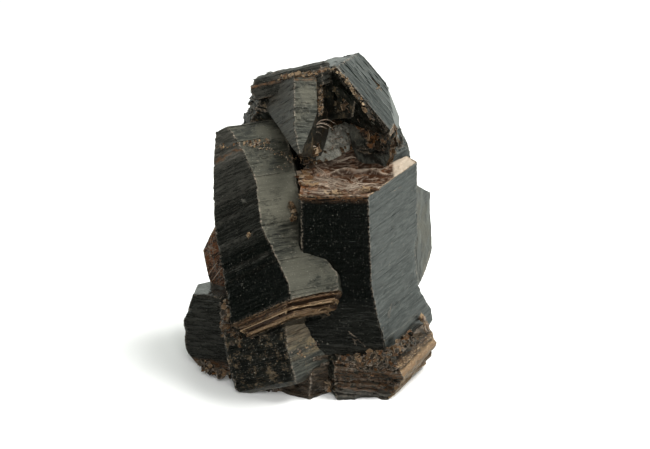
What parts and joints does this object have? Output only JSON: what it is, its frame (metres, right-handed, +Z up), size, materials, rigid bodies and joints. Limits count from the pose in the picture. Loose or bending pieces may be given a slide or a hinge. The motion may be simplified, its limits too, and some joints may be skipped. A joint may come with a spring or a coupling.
{
  "type": "mica crystal cluster",
  "caption": "Free-standing cluster of dark stacked mica books grown together, tipped at different angles, with a broken brown end face, stepped edges and a flat-cut foot.",
  "frame": {"origin": "middle of the bounding box on the flat-cut foot", "axes": "+Z up, +X to the right seen from the front, -Y to the front where the two largest crystals show"},
  "size_m": [0.0552, 0.0434, 0.0661],
  "materials": {
    "dark_mica": "near-black and slate-grey glossy cleavage edges with fine sheet lines, and brown to tan flaky end faces"
  },
  "bodies": {
    "root": {"mica_crystal": "dark_mica"}
  },
  "joints": []
}
